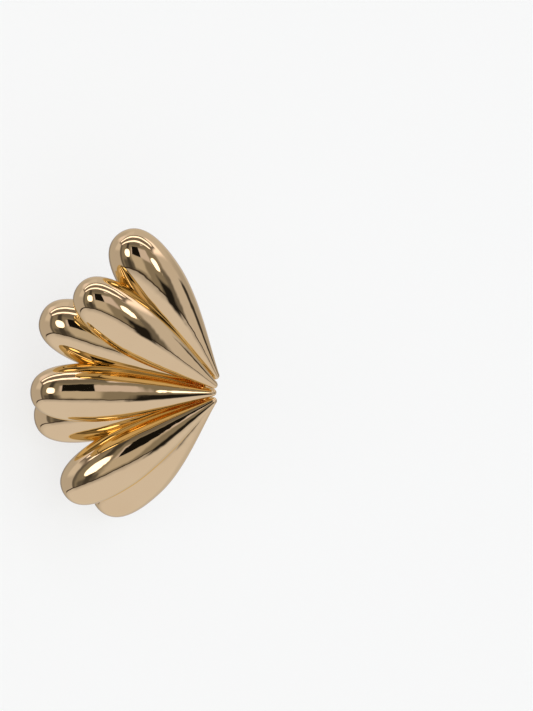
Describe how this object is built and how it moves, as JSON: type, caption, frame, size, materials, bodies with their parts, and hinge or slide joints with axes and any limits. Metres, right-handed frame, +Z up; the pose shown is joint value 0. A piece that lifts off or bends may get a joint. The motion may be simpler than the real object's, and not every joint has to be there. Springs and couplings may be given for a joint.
{
  "type": "fan stud earring",
  "caption": "Stud earring of polished teardrop lobes fanned out from an edge, in a back row and a raised front row, with a straight ear post and pad behind; it lies face up.",
  "frame": {"origin": "on the surface that the earring lies on, below the middle of its box", "axes": "+Z up from the surface; the face looks up and towards -Y, with the fan's lobes spread along X and their tips raised at the +Y side"},
  "size_m": [0.038, 0.0238, 0.0212],
  "materials": {
    "fan": "mirror-polished pale gold plating",
    "post": "polished pale gold plating, turned"
  },
  "bodies": {
    "root": {"fan": "fan", "ear_post": "post"}
  },
  "joints": []
}
